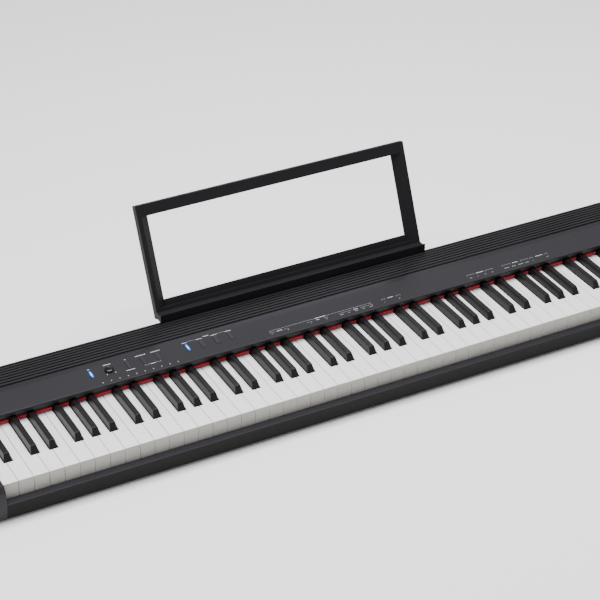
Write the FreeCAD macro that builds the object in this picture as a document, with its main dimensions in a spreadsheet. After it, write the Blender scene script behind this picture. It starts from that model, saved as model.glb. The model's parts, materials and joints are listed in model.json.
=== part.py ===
import FreeCAD, Part
import os
import re

import Sketcher

# A portable 88-key digital piano with a lift-off music rest.
#
# Axes: X runs to the player's right with 0 at the middle of the keyboard, Y runs from the player
# to the rear with 0 at the front of the case, and Z is up from the table. Every node is moved
# back by half the overall depth at the end, so that the origin is under the middle of the piano.

SIZES = [
    # keyboard
    ("white_pitch", 23.5, "width of one white key with its gap"),
    ("white_count", 52, "white keys"),
    ("key_gap", 0.9, "gap between neighbouring white keys"),
    ("white_front", 15, "front face of the white keys"),
    ("white_top", 59, "top of the white keys"),
    ("white_skirt", 26, "height of a white key's front"),
    ("tail_skirt", 14, "height of a key's tail"),
    ("head_length", 47.8, "wide part of a white key"),
    ("key_wall", 1.6, "wall of a hollow key"),
    ("key_roof", 2.6, "top plate of a hollow key"),
    ("black_front", 63.7, "front of a black key at its base"),
    ("black_base", 13.2, "width of a black key at its base"),
    ("black_crest", 8.6, "width of a black key at its top"),
    ("black_rise", 11.1, "height of a black key over the white keys"),
    ("black_sink", 1.5, "how far its cap reaches below the white tops"),
    ("black_nose", 7, "run of a black key's sloping front"),
    ("black_end", 155, "rear of a black key's cap"),
    ("black_stem", 10.4, "width of a black key's body under its cap"),
    ("slot_gap", 0.8, "gap beside a black key"),
    ("c_sharp_shift", -2.2, "C sharp from the C and D boundary"),
    ("d_sharp_shift", 2.9, "D sharp from the D and E boundary"),
    ("f_sharp_shift", -3.9, "F sharp from the F and G boundary"),
    ("g_sharp_shift", -0.4, "G sharp from the G and A boundary"),
    ("a_sharp_shift", 3.6, "A sharp from the A and B boundary"),
    ("pivot_y", 205, "key pivot, behind the front of the case"),
    ("pivot_z", 49, "key pivot height"),
    ("rod_radius", 1.5, "key pivot rod"),
    ("rod_play", 0.15, "play of a key on its rod"),
    ("rail_width", 5, "rail under the pivot rod"),
    ("rail_gap", 0.6, "gap between the keys and that rail"),
    ("key_end", 211, "rear end of the keys"),
    # case
    ("case_width", 1283, "width"),
    ("case_depth", 261, "depth without the music rest"),
    ("case_height", 87, "height without the music rest"),
    ("foot_height", 5, "rubber feet"),
    ("end_block", 30, "width of an end block"),
    ("case_wall", 1.8, "rear wall of the bottom case"),
    ("floor_wall", 2.5, "floor of the bottom case"),
    ("shell_wall", 2.6, "wall of an end block"),
    ("slip_top", 34.4, "ledge in front of the keys"),
    ("slip_rear", 13.8, "rear of that ledge"),
    # panel and grille
    ("lip_y", 147.3, "front lip of the top panel"),
    ("lip_top", 80.2, "top of that lip"),
    ("lip_drop", 5.8, "height of that lip"),
    ("panel_wall", 2.6, "thickness of the panel and the grille"),
    ("panel_seam", 0.3, "seam between the panel and the grille"),
    ("wall_top", 82, "top of the bottom case's rear wall"),
    ("grille_y", 208.2, "where the panel meets the grille"),
    ("grille_z", 85.6, "height of the grille there"),
    ("grille_rise", 0.6, "rise of the grille from its first rib to its second"),
    ("grille_fall", 0.0656, "how much less it rises from rib to rib"),
    ("rib_pitch", 6.6, "spacing of the grooves"),
    ("groove_width", 3.0, "width of a groove"),
    ("groove_depth", 1.8, "depth of a groove"),
    ("speaker_x", 470, "speaker from the middle of the keyboard"),
    ("speaker_half", 62, "half the length of a speaker"),
    ("felt_y", 155.3, "rail that carries the felt behind the keys"),
    ("felt_thick", 1.6, "thickness of the felt"),
    ("felt_height", 5.4, "top of the felt over the white keys"),
    ("felt_rail_top", 78.1, "top of that rail, under the panel"),
    ("key_over", 0.8, "gap over the white keys"),
    # controls
    ("control_line", 32.9, "middle of the buttons from the lip, along the slope"),
    ("button_width", 6, "width of a button"),
    ("button_length", 18.5, "length of a button"),
    ("button_proud", 0.6, "height of a button over the panel"),
    ("button_play", 0.35, "gap round a button"),
    ("power_x", -405.8, "power button"),
    ("volume_x", -377, "volume knob"),
    ("function_x", -345.3, "first function button"),
    ("function_second", -320.4, "second function button"),
    ("function_third", -295.4, "third function button"),
    ("tone_x", -245, "first tone button"),
    ("tone_pitch", 24.5, "spacing of the tone buttons"),
    ("knob_line", 31.9, "middle of the volume knob from the lip, along the slope"),
    ("knob_radius", 7.3, "volume knob"),
    ("knob_height", 4.3, "volume knob over the panel"),
    ("knob_lift", 0.5, "gap under the knob"),
    ("shaft_radius", 3, "shaft of the volume control"),
    ("shaft_play", 0.4, "gap round that shaft in the panel"),
    # music rest
    ("rest_x", -13.2, "middle of the music rest"),
    ("rest_half", 242, "half the width of the music rest"),
    ("rest_y", 269, "front of its frame at the height of the case"),
    ("rest_lean", 23.5, "lean of the frame, degrees"),
    ("rest_height", 182.7, "height of the frame along its lean"),
    ("rest_depth", 13.3, "depth of the frame, front to rear"),
    ("rest_side", 20.7, "width of a side member"),
    ("rest_rim", 7.4, "front rim of a side member"),
    ("rest_top", 18.4, "height of the top member"),
    ("rest_rail", 26.6, "top of the bottom rail along the lean"),
    ("rest_web", 3, "thickness of the bottom rail"),
    ("tray_front", 257.3, "front lip of the rest's tray"),
    ("tray_lip", 100.3, "top of that lip"),
    ("tray_floor", 96.8, "floor of the tray"),
    ("tray_wall", 2.5, "wall of the tray"),
    ("tongue_x", 150, "tongues from the middle of the rest"),
    ("tongue_width", 60, "width of a tongue"),
    ("tongue_depth", 22, "depth of a tongue below the case top"),
    ("tongue_thick", 3, "thickness of a tongue"),
    ("tongue_play", 0.3, "gap round a tongue"),
    ("socket_wall", 2.2, "wall of the sockets on the rear of the case"),
    # rear and underside
    ("jack_x", -270, "middle of the jack panel"),
    ("jack_half", 70, "half the width of the jack panel"),
    ("jack_low", 32, "bottom of the jack panel"),
    ("jack_high", 56, "top of the jack panel"),
    ("jack_line", 44, "height of the jacks"),
    ("jack_nose", 6.4, "half the width of a jack's body"),
    ("phones_bore", 3.25, "bore of the headphone jack"),
    ("pedal_bore", 3.25, "bore of the pedal jack"),
    ("jack_depth", 31, "depth of the jack bores"),
    ("inlet_bore", 2.8, "bore of the power inlet"),
    ("inlet_pin", 1.05, "centre pin of the power inlet"),
    ("inlet_depth", 9.5, "depth of the power inlet"),
    ("battery_x", 280, "middle of the battery bay"),
    ("cell_length", 50.5, "length of a battery cell"),
    ("cell_radius", 7.1, "radius of a battery cell"),
    ("cell_count", 3, "cells in a row"),
    ("bay_front", 220, "front of the battery bay"),
    ("bay_depth", 32, "battery bay, front to rear"),
    ("bay_height", 20, "height of the battery bay"),
    ("lid_thick", 1.6, "thickness of the battery lid"),
    ("foot_x", 560, "feet from the middle"),
    ("foot_radius", 11, "radius of a foot"),
]

doc = FreeCAD.newDocument("DigitalPiano")
sheet = doc.addObject("Spreadsheet::Sheet", "Sizes")
for row, (alias, value, note) in enumerate(SIZES, 1):
    sheet.set(f"A{row}", note)
    sheet.set(f"B{row}", str(value))
    sheet.setAlias(f"B{row}", alias)
doc.recompute()

ALIASES = re.compile(r"\b(" + "|".join(alias for alias, _, _ in SIZES) + r")\b")
REST_DEPTH = ("(rest_y + rest_height * sin(rest_lean * 1 deg)"
              " + rest_depth * cos(rest_lean * 1 deg))")
PANEL_TILT = "atan2(grille_z - lip_top; grille_y - lip_y)"
PANEL_RUN = "((grille_y - lip_y) / cos(atan2(grille_z - lip_top; grille_y - lip_y)))"
WHITE_COUNT = 52
WHITE_NAMES = "ABCDEFG"
SHARP_AFTER = {"C": "c_sharp_shift", "D": "d_sharp_shift", "F": "f_sharp_shift",
               "G": "g_sharp_shift", "A": "a_sharp_shift"}
FIRST_MIDDLE = 23                      # C4, counted from the lowest white key
LAST_MIDDLE = 29                       # B4
KEYBOARD = "white_pitch * white_count"
HALF_INSIDE = "(case_width / 2 - end_block)"


def bind(item, path, text):
    """Bind a property to a formula of the sheet's sizes."""
    item.setExpression(path, ALIASES.sub(r"Sizes.\1", str(text)))


def place(item, x=0, y=0, z=0):
    for axis, text in zip("xyz", (x, y, z)):
        bind(item, f"Placement.Base.{axis}", text)
    return item


def box(name, x, y, z):
    """A box from its low and high formulas along X, Y and Z."""
    item = doc.addObject("Part::Box", name)
    for size, (low, high) in zip(("Length", "Width", "Height"), (x, y, z)):
        bind(item, size, f"({high}) - ({low})")
    return place(item, x[0], y[0], z[0])


def cylinder(name, radius, length, x, y, z, axis="z"):
    item = doc.addObject("Part::Cylinder", name)
    bind(item, "Radius", radius)
    bind(item, "Height", length)
    direction = {"x": (1, 0, 0), "y": (0, 1, 0), "z": (0, 0, 1)}[axis]
    turn = FreeCAD.Rotation(FreeCAD.Vector(0, 0, 1), FreeCAD.Vector(*direction))
    item.Placement = FreeCAD.Placement(FreeCAD.Vector(), turn)
    return place(item, x, y, z)


def fuse(name, *items):
    item = doc.addObject("Part::MultiFuse", name)
    item.Shapes = list(items)
    return item


def group(name, *items):
    item = doc.addObject("Part::Compound", name)
    item.Links = list(items)
    return item


def cut(name, base, *tools):
    item = doc.addObject("Part::Cut", name)
    item.Base = base
    item.Tool = tools[0] if len(tools) == 1 else group(name + "Tools", *tools)
    return item


def tilted(name, item, y, z, degrees):
    """Turn an item about X at a point of the YZ plane: positive lifts its rear."""
    holder = group(name, item)
    holder.Placement = FreeCAD.Placement(FreeCAD.Vector(), FreeCAD.Rotation(FreeCAD.Vector(1, 0, 0), 1))
    bind(holder, "Placement.Rotation.Angle", degrees)
    return place(holder, 0, y, z)


def profile(name, points, low, high):
    """A PartDesign body: an outline in the YZ plane, padded along X from low to high."""
    body = doc.addObject("PartDesign::Body", name)
    sketch = body.newObject("Sketcher::SketchObject", name + "Outline")
    plane = [face for face in body.Origin.OriginFeatures if face.Role == "YZ_Plane"][0]
    sketch.AttachmentSupport = (plane, "")
    sketch.MapMode = "FlatFace"
    count = len(points)
    start = [FreeCAD.Vector(*map(starting_value, point), 0) for point in points]
    for index in range(count):
        sketch.addGeometry(Part.LineSegment(start[index], start[(index + 1) % count]), False)
    for index in range(count):
        sketch.addConstraint(Sketcher.Constraint("Coincident", index, 2, (index + 1) % count, 1))
    for index, point in enumerate(points):
        for kind, text in zip(("DistanceX", "DistanceY"), point):
            number = sketch.addConstraint(
                Sketcher.Constraint(kind, -1, 1, index, 1, starting_value(text)))
            bind(sketch, f"Constraints[{number}]", text)
    pad = body.newObject("PartDesign::Pad", name + "Pad")
    pad.Profile = sketch
    bind(pad, "Length", f"({high}) - ({low})")
    bind(body, "Placement.Base.x", low)
    return body


def starting_value(text):
    """What a formula of the sheet's sizes comes to."""
    return float(sheet.evalExpression(ALIASES.sub(r"Sizes.\1", text)))


nodes = []


def node(name, *items):
    """Gather a sub-part's pieces under its own label, moved back to the piano's middle."""
    item = group("Node_" + name, *items)
    item.Label = name
    bind(item, "Placement.Base.y", f"-{REST_DEPTH} / 2")
    nodes.append(item)
    return item


# ---------------------------------------------------------------- keys

def sharp_middle(index):
    """Middle of the black key to the right of a white key, or None where there is none."""
    if not 0 <= index < WHITE_COUNT - 1:
        return None
    shift = SHARP_AFTER.get(WHITE_NAMES[index % 7])
    return f"(({index + 1} - white_count / 2) * white_pitch + {shift})" if shift else None


def rod_notch(name, low, high):
    """The open slot that hooks a key over the pivot rod, and its relief over the rod's rail."""
    reach = "(rod_radius + rod_play)"
    slot = box(name + "Slot", (low, high), (f"pivot_y - {reach}", f"pivot_y + {reach}"),
               ("white_top - tail_skirt - 1", f"pivot_z + {reach}"))
    relief = box(name + "Relief", (low, high), ("pivot_y - rail_width", "key_end + 1"),
                 ("white_top - tail_skirt - 1", "pivot_z - rod_radius + rail_gap"))
    return fuse(name, slot, relief)


def white_key(index):
    name = f"White{index}"
    low = f"(({index} - white_count / 2) * white_pitch + key_gap / 2)"
    high = f"(({index + 1} - white_count / 2) * white_pitch - key_gap / 2)"
    left, right = sharp_middle(index - 1), sharp_middle(index)
    tail_low = f"({left} + black_base / 2 + slot_gap)" if left else low
    tail_high = f"({right} - black_base / 2 - slot_gap)" if right else high
    head_end = "(white_front + head_length)"
    floor = "(white_top - white_skirt)"
    tail_floor = "(white_top - tail_skirt)"
    solid = fuse(name + "Outer",
                 box(name + "Head", (low, high), ("white_front", head_end), (floor, "white_top")),
                 box(name + "Tail", (tail_low, tail_high), (f"{head_end} - key_wall", "key_end"),
                     (tail_floor, "white_top")))
    hollow_head = box(name + "HeadHollow", (f"{low} + key_wall", f"{high} - key_wall"),
                      ("white_front + key_wall", f"{head_end} - key_wall"),
                      (f"{floor} - 1", "white_top - key_roof"))
    hollow_tail = box(name + "TailHollow", (f"{tail_low} + key_wall", f"{tail_high} - key_wall"),
                      (f"{head_end} - 2 * key_wall", "key_end - key_wall"),
                      (f"{tail_floor} - 1", "white_top - key_roof"))
    return cut(name, solid, hollow_head, hollow_tail,
               rod_notch(name + "Notch", f"{tail_low} - 1", f"{tail_high} + 1"))


def black_key(index):
    """The black key to the right of a white key: a tapered cap on a hollow body."""
    name = f"Black{index}"
    middle = sharp_middle(index)
    cap = doc.addObject("Part::Wedge", name + "Cap")
    for path, text in (("Xmin", "-black_base / 2"), ("Xmax", "black_base / 2"),
                       ("X2min", "-black_crest / 2"), ("X2max", "black_crest / 2"),
                       ("Ymin", "0"), ("Ymax", "black_rise + black_sink"),
                       ("Zmin", "-black_end"), ("Zmax", "-black_front"),
                       ("Z2min", "-black_end"), ("Z2max", "-black_front - black_nose")):
        bind(cap, path, text)
    cap.Placement = FreeCAD.Placement(FreeCAD.Vector(), FreeCAD.Rotation(FreeCAD.Vector(1, 0, 0), 90))
    place(cap, middle, 0, "white_top - black_sink")
    stem_low = f"({middle} - black_stem / 2)"
    stem_high = f"({middle} + black_stem / 2)"
    floor = "(white_top - tail_skirt)"
    roof = "(white_top - black_sink)"
    stem = box(name + "Stem", (stem_low, stem_high), ("black_front + key_wall", "key_end"),
               (floor, f"{roof} + 0.5"))
    hollow = box(name + "Hollow", (f"{stem_low} + key_wall", f"{stem_high} - key_wall"),
                 ("black_front + 2 * key_wall", "key_end - key_wall"),
                 (f"{floor} - 1", f"{roof} - key_roof"))
    return cut(name, fuse(name + "Outer", cap, stem), hollow,
               rod_notch(name + "Notch", f"{stem_low} - 1", f"{stem_high} + 1"))


low_whites, low_blacks, high_whites, high_blacks = [], [], [], []
for index in range(WHITE_COUNT):
    letter = WHITE_NAMES[index % 7].lower()
    white = white_key(index)
    black = black_key(index) if sharp_middle(index) else None
    if index < FIRST_MIDDLE:
        low_whites.append(white)
        if black:
            low_blacks.append(black)
    elif index > LAST_MIDDLE:
        high_whites.append(white)
        if black:
            high_blacks.append(black)
    else:
        node(f"key_{letter}4", white)
        if black:
            node(f"key_{letter}_sharp_4", black)
node("low_white_keys", *low_whites)
node("low_black_keys", *low_blacks)
node("high_white_keys", *high_whites)
node("high_black_keys", *high_blacks)

# ---------------------------------------------------------------- case shells

node("bottom_case", cut(
    "BottomCase",
    profile("BottomShell",
            [("9.2", "foot_height"), ("case_depth - 4", "foot_height"),
             ("case_depth", "foot_height + 4"), ("case_depth", "jack_low"),
             ("case_depth - case_wall", "jack_low"), ("case_depth - case_wall", "foot_height + 5"),
             ("case_depth - 5", "foot_height + floor_wall"),
             ("11.4", "foot_height + floor_wall"), ("11.4", "22"), ("9.2", "22")],
            f"-{HALF_INSIDE}", HALF_INSIDE),
    box("BatteryWindow",
        ("battery_x - cell_count * cell_length / 2 - 3", "battery_x + cell_count * cell_length / 2 + 3"),
        ("bay_front", "bay_front + bay_depth"), ("foot_height - 1", "foot_height + floor_wall + 1"))))

REAR_WALL = ("case_depth - case_wall", "case_depth")
node("rear_wall",
     box("RearWallLeft", (f"-{HALF_INSIDE}", "jack_x - jack_half"), REAR_WALL, ("jack_low", "wall_top")),
     box("RearWallRight", ("jack_x + jack_half", HALF_INSIDE), REAR_WALL, ("jack_low", "wall_top")),
     box("RearWallBridge", ("jack_x - jack_half", "jack_x + jack_half"), REAR_WALL,
         ("jack_high", "wall_top")))

node("front_rail", profile(
    "FrontRail",
    [("6.4", "foot_height"), ("0", "33.4"), ("0.8", "34.1"), ("slip_rear", "slip_top"),
     ("slip_rear", "24"), ("slip_rear - 2.2", "24"), ("slip_rear - 2.2", "slip_top - 2.5"),
     ("2.8", "31.6"), ("8.8", "foot_height")],
    f"-{HALF_INSIDE}", HALF_INSIDE))

END_OUTLINE = [("6.4", "foot_height"), ("0", "33.4"), ("1.5", "54"), ("8", "63"), ("139", "64.5"),
               ("lip_y", "lip_top"), ("grille_y", "grille_z"), ("grille_y + 28", "case_height"),
               ("case_depth", "case_height - 0.8"), ("case_depth", "foot_height + 4"),
               ("case_depth - 4", "foot_height")]
END_HOLLOW = [("9.6", "foot_height + shell_wall"), ("3.4", "33.4"), ("4.6", "52.6"), ("9.4", "60"),
              ("140.6", "61.4"), ("lip_y + 2", "lip_top - 2.8"), ("grille_y", "grille_z - shell_wall"),
              ("grille_y + 28", "case_height - shell_wall"),
              ("case_depth - shell_wall", "case_height - 0.8 - shell_wall"),
              ("case_depth - shell_wall", "foot_height + 6"),
              ("case_depth - 6", "foot_height + shell_wall")]
for side, low, high, hollow_low, hollow_high in (
        ("left", "-case_width / 2", f"-{HALF_INSIDE}", "-case_width / 2 + shell_wall", f"-{HALF_INSIDE} + 1"),
        ("right", HALF_INSIDE, "case_width / 2", f"{HALF_INSIDE} - 1", "case_width / 2 - shell_wall")):
    node(f"{side}_end_block", cut(
        f"{side.title()}EndBlock",
        profile(f"{side.title()}EndOuter", END_OUTLINE, low, high),
        profile(f"{side.title()}EndInner", END_HOLLOW, hollow_low, hollow_high)))

# ---------------------------------------------------------------- panel, in its own sloping frame

CONTROLS = [("power_button", "power_x"), ("function_button_1", "function_x"),
            ("function_button_2", "function_second"), ("function_button_3", "function_third"),
            ("tone_button_1", "tone_x"), ("tone_button_2", "tone_x + tone_pitch"),
            ("tone_button_3", "tone_x + 2 * tone_pitch"), ("tone_button_4", "tone_x + 3 * tone_pitch")]


def on_panel(name, *items):
    """Set pieces made in the panel's own frame onto its slope."""
    return tilted(name, items[0] if len(items) == 1 else group(name + "Flat", *items),
                  "lip_y", "lip_top", PANEL_TILT)


def control_box(name, x, grow, low, high):
    """A box round a button's middle, wider than the button by grow on each side."""
    half_width = f"(button_width / 2 + {grow})"
    half_length = f"(button_length / 2 + {grow})"
    return box(name, (f"{x} - {half_width}", f"{x} + {half_width}"),
               (f"control_line - {half_length}", f"control_line + {half_length}"), (low, high))


panel_blank = fuse(
    "PanelBlank",
    box("PanelPlate", (f"-{HALF_INSIDE}", HALF_INSIDE), (0, f"{PANEL_RUN} - panel_seam"),
        ("-panel_wall", 0)),
    box("PanelLip", (f"-{HALF_INSIDE}", HALF_INSIDE), (0, "panel_wall"), ("-lip_drop", 0)))
panel_holes = [control_box(f"Hole{number}", x, "button_play", "-panel_wall - 1", 1)
               for number, (_, x) in enumerate(CONTROLS)]
panel_holes.append(cylinder("KnobHole", "shaft_radius + shaft_play", "panel_wall + 2",
                            "volume_x", "knob_line", "-panel_wall - 1"))
node("top_panel", on_panel("TopPanel", cut("PanelCut", panel_blank, *panel_holes)))

for number, (name, x) in enumerate(CONTROLS):
    pieces = fuse(f"Button{number}",
                  control_box(f"ButtonCap{number}", x, 0, "-panel_wall - 2.4", "button_proud"),
                  control_box(f"ButtonFlange{number}", x, "1.2", "-panel_wall - 3.4", "-panel_wall - 1.4"),
                  cylinder(f"ButtonStem{number}", "1.5", "3", x, "control_line", "-panel_wall - 6"))
    node(name, on_panel(f"ButtonOnPanel{number}", pieces))

node("volume_knob", on_panel("KnobOnPanel", fuse(
    "Knob",
    cylinder("KnobCap", "knob_radius", "knob_height - knob_lift", "volume_x", "knob_line", "knob_lift"),
    cylinder("KnobShaft", "shaft_radius", "panel_wall + 3.5", "volume_x", "knob_line",
             "-panel_wall - 2.5"))))
node("volume_pot", on_panel("PotOnPanel", box(
    "Pot", ("volume_x - 6", "volume_x + 6"), ("knob_line - 6", "knob_line + 6"),
    ("-panel_wall - 8.4", "-panel_wall - 2.9"))))
board_posts = [box(f"BoardSpacer{number}", (f"{x} - 1.5", f"{x} + 1.5"),
                   ("control_line - 14", "control_line - 11"), ("-panel_wall - 8.4", "-panel_wall"))
               for number, x in enumerate(
                   ("(power_x - 9)", "(tone_x - 25)", "(tone_x + 3 * tone_pitch + 11)"))]
node("panel_board", on_panel("BoardOnPanel", fuse(
    "PanelBoardOnSpacers",
    box("PanelBoard", ("power_x - 12", "tone_x + 3 * tone_pitch + 14"),
        ("control_line - 14", "control_line + 14"), ("-panel_wall - 10", "-panel_wall - 8.4")),
    *board_posts)))

# the grille carries on from the panel and rolls gently over to the rear
def grille_height(rib):
    """Height of the grille's top at a number of ribs behind the panel."""
    return f"(grille_z + {rib} * grille_rise - {rib * rib} * grille_fall)"


def grille_box(name, low, high, groove, inset, depth):
    """A cut along one groove, counted from the panel."""
    return box(name, (low, high),
               (f"grille_y + 0.3 + {groove} * rib_pitch + {inset}",
                f"grille_y + 0.3 + {groove} * rib_pitch + groove_width - {inset}"),
               (f"{grille_height(groove + 0.25)} - {depth}", "case_height + 1"))


RIBS = range(8)
top_line = [(f"grille_y + {rib} * rib_pitch", grille_height(rib)) for rib in range(9)]
under_line = [(y, f"{z} - panel_wall") for y, z in reversed(top_line)]
grille_plate = fuse("GrillePlate",
                    profile("GrilleSheet", top_line + under_line, f"-{HALF_INSIDE}", HALF_INSIDE),
                    box("GrilleEdge", (f"-{HALF_INSIDE}", HALF_INSIDE),
                        ("case_depth - case_wall", "case_depth"), ("wall_top", "wall_top + 2.5")))
grooves = [grille_box(f"Groove{rib}", f"-{HALF_INSIDE} - 1", f"{HALF_INSIDE} + 1", rib, 0, "groove_depth")
           for rib in RIBS]
sound_slots = [grille_box(f"SoundSlot{side}{rib}", f"{sign} * speaker_x - speaker_half + 8",
                          f"{sign} * speaker_x + speaker_half - 8", rib, 0.3, "2 * panel_wall")
               for side, sign in (("Left", "-1"), ("Right", "1")) for rib in RIBS[:6]]
node("louvre_grille", cut("Grille", grille_plate, *grooves, *sound_slots))

# ---------------------------------------------------------------- what the keys stand on

node("key_chassis", profile(
    "KeyChassis",
    [("17", "10"), ("20", "10"), ("20", "foot_height + floor_wall"),
     ("24", "foot_height + floor_wall"), ("24", "10"),
     ("190", "10"), ("190", "foot_height + floor_wall"),
     ("194", "foot_height + floor_wall"), ("194", "10"), ("213", "10"), ("213", "12.4"),
     ("pivot_y + 2.5", "12.4"), ("pivot_y + 2.5", "pivot_z - rod_radius"),
     ("pivot_y - 2.5", "pivot_z - rod_radius"), ("pivot_y - 2.5", "12.4"),
     ("80", "12.4"), ("80", "white_top - 27"), ("70", "white_top - 27"), ("70", "12.4"),
     ("51", "12.4"), ("51", "white_top - 39"), ("41", "white_top - 39"), ("41", "12.4"),
     ("17", "12.4")],
    f"-({KEYBOARD}) / 2", f"({KEYBOARD}) / 2"))
node("key_pivot_rod", cylinder("PivotRod", "rod_radius", KEYBOARD, f"-({KEYBOARD}) / 2",
                               "pivot_y", "pivot_z", "x"))
node("key_stop_felts", *[
    box(f"{keys}Stop", (f"-({KEYBOARD}) / 2", f"({KEYBOARD}) / 2"), (front, rear),
        (f"white_top - {drop}", f"white_top - {drop} + 3"))
    for keys, front, rear, drop in (("White", 39, 53, 39), ("Black", 69, 81, 27))])
node("contact_board", box("ContactBoard", ("-600", "600"), (111, 159), (17, 18.6)),
     *[box(f"BoardPost{number}", (f"{x} - 4", f"{x} + 4"), (131, 139), (12.4, 17))
       for number, x in enumerate((-580, -290, 0, 290, 580))])
node("rubber_contact_strips",
     *[box(f"ContactStrip{number}", (f"-600 + {number} * 150 + 1", f"-600 + {number} * 150 + 149"),
           (117, 133), (18.6, 24)) for number in range(8)])

felt_notches = []
for index in range(WHITE_COUNT - 1):
    middle = sharp_middle(index)
    if middle:
        felt_notches.append(box(f"FeltNotch{index}",
                                (f"{middle} - black_base / 2 - slot_gap",
                                 f"{middle} + black_base / 2 + slot_gap"),
                                ("felt_y - felt_thick - 1", "felt_y"),
                                ("white_top", "white_top + felt_height + 1")))
node("felt_rail", box("FeltRail", (f"-({KEYBOARD}) / 2", f"({KEYBOARD}) / 2"),
                      ("felt_y", "felt_y + 1.2"), ("white_top + key_over", "felt_rail_top")))
node("red_felt_strip", cut(
    "RedFelt",
    box("FeltBlank", (f"-({KEYBOARD}) / 2", f"({KEYBOARD}) / 2"),
        ("felt_y - felt_thick", "felt_y"), ("white_top + key_over", "white_top + felt_height")),
    *felt_notches))

# ---------------------------------------------------------------- sound and electronics

speaker_y = "(grille_y + 24)"
frames, cones, magnets = [], [], []
for side, sign in (("Left", "-1"), ("Right", "1")):
    middle = f"(({sign}) * speaker_x)"
    frames.append(cut(
        f"Frame{side}",
        box(f"FramePlate{side}", (f"{middle} - speaker_half", f"{middle} + speaker_half"),
            (f"{speaker_y} - 20", f"{speaker_y} + 20"), (78, 83.3)),
        box(f"FrameHole{side}", (f"{middle} - speaker_half + 6", f"{middle} + speaker_half - 6"),
            (f"{speaker_y} - 16", f"{speaker_y} + 16"), (77, 84))))
    cones.append(box(f"Cone{side}", (f"{middle} - speaker_half + 2", f"{middle} + speaker_half - 2"),
                     (f"{speaker_y} - 18", f"{speaker_y} + 18"), (76, 78)))
    magnets.append(cylinder(f"Magnet{side}", "14", "13", middle, speaker_y, 63))
node("speaker_frames", *frames)
node("speaker_cones", *cones)
node("speaker_magnets", *magnets)
node("main_board", box("MainBoard", ("jack_x - 100", "jack_x + 140"), (215, 217),
                       ("foot_height + floor_wall", 54)))

# ---------------------------------------------------------------- rear jacks

JACKS = {"pedal_jack": "(jack_x - 45)", "phones_jack": "(jack_x - 18)",
         "usb_port": "(jack_x + 12)", "dc_inlet": "(jack_x + 42)"}
MOUTH = "(jack_nose + 0.2)"
column_ends = ["jack_x - jack_half"]
for x in JACKS.values():
    column_ends += [f"{x} - {MOUTH}", f"{x} + {MOUTH}"]
column_ends.append("jack_x + jack_half")
node("jack_panel",
     box("JackRailLow", ("jack_x - jack_half", "jack_x + jack_half"), REAR_WALL,
         ("jack_low", f"jack_line - {MOUTH}")),
     box("JackRailHigh", ("jack_x - jack_half", "jack_x + jack_half"), REAR_WALL,
         (f"jack_line + {MOUTH}", "jack_high")),
     *[box(f"JackColumn{number}", (column_ends[2 * number], column_ends[2 * number + 1]), REAR_WALL,
           (f"jack_line - {MOUTH}", f"jack_line + {MOUTH}"))
       for number in range(len(column_ends) // 2)])


def jack_block(name, length):
    """The square body of a jack, its mouth flush with the rear of the case."""
    return box(f"Block_{name}", (f"{JACKS[name]} - jack_nose", f"{JACKS[name]} + jack_nose"),
               (f"case_depth - {length}", "case_depth"),
               ("jack_line - jack_nose", "jack_line + jack_nose"))


for name, bore in (("pedal_jack", "pedal_bore"), ("phones_jack", "phones_bore")):
    node(name, cut(f"Cut_{name}", jack_block(name, "(jack_depth + 2)"),
                   cylinder(f"Bore_{name}", bore, "jack_depth + 1", JACKS[name],
                            "case_depth - jack_depth", "jack_line", "y")))
node("usb_port", cut(
    "UsbCut", jack_block("usb_port", 14),
    box("UsbMouth", (f"{JACKS['usb_port']} - 4.3", f"{JACKS['usb_port']} + 4.3"),
        ("case_depth - 10", "case_depth + 1"), ("jack_line - 3.9", "jack_line + 3.9"))))
node("dc_inlet", fuse(
    "InletWithPin",
    cut("InletCut", jack_block("dc_inlet", "(inlet_depth + 3)"),
        cylinder("InletBore", "inlet_bore", "inlet_depth + 1", JACKS["dc_inlet"],
                 "case_depth - inlet_depth", "jack_line", "y")),
    cylinder("InletPin", "inlet_pin", "inlet_depth", JACKS["dc_inlet"],
             "case_depth - inlet_depth - 1", "jack_line", "y")))
node("jack_board", box("JackBoard", ("jack_x - jack_half + 8", "jack_x + jack_half - 8"),
                       ("case_depth - jack_depth - 2", "case_depth - 4"),
                       ("jack_line - 8.4", "jack_line - 6.6")))

# ---------------------------------------------------------------- battery bay

bay_low = "(battery_x - cell_count * cell_length / 2 - 3)"
bay_high = "(battery_x + cell_count * cell_length / 2 + 3)"
node("battery_tray", cut(
    "BatteryTray",
    box("TrayOuter", (f"{bay_low} - 1.5", f"{bay_high} + 1.5"),
        ("bay_front - 1.5", "bay_front + bay_depth + 1.5"),
        ("foot_height + floor_wall", "foot_height + bay_height")),
    box("TrayInner", (bay_low, bay_high), ("bay_front", "bay_front + bay_depth"),
        ("foot_height", "foot_height + bay_height - 1.5"))))
node("batteries", *[
    cylinder(f"Cell{row}{place_in_row}", "cell_radius", "cell_length - 0.6",
             f"battery_x + ({place_in_row} - 1.5) * cell_length + 0.3",
             f"bay_front + bay_depth * {0.25 + 0.5 * row}", "foot_height + 9", "x")
    for row in range(2) for place_in_row in range(3)])
node("battery_contacts", *[
    box(f"Contact{row}{end}", (f"battery_x + ({end}) * (cell_count * cell_length / 2 + 1.4) - 0.3",
                               f"battery_x + ({end}) * (cell_count * cell_length / 2 + 1.4) + 0.3"),
        (f"bay_front + bay_depth * {0.25 + 0.5 * row} - 4",
         f"bay_front + bay_depth * {0.25 + 0.5 * row} + 4"),
        ("foot_height + 4", "foot_height + 14"))
    for row in range(2) for end in ("-1", "1")])
node("battery_cover", box(
    "BatteryCover", (f"{bay_low} - 6", f"{bay_high} + 6"), ("bay_front - 6", "bay_front + bay_depth + 5"),
    ("foot_height - lid_thick", "foot_height")))

# ---------------------------------------------------------------- feet and screws

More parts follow.
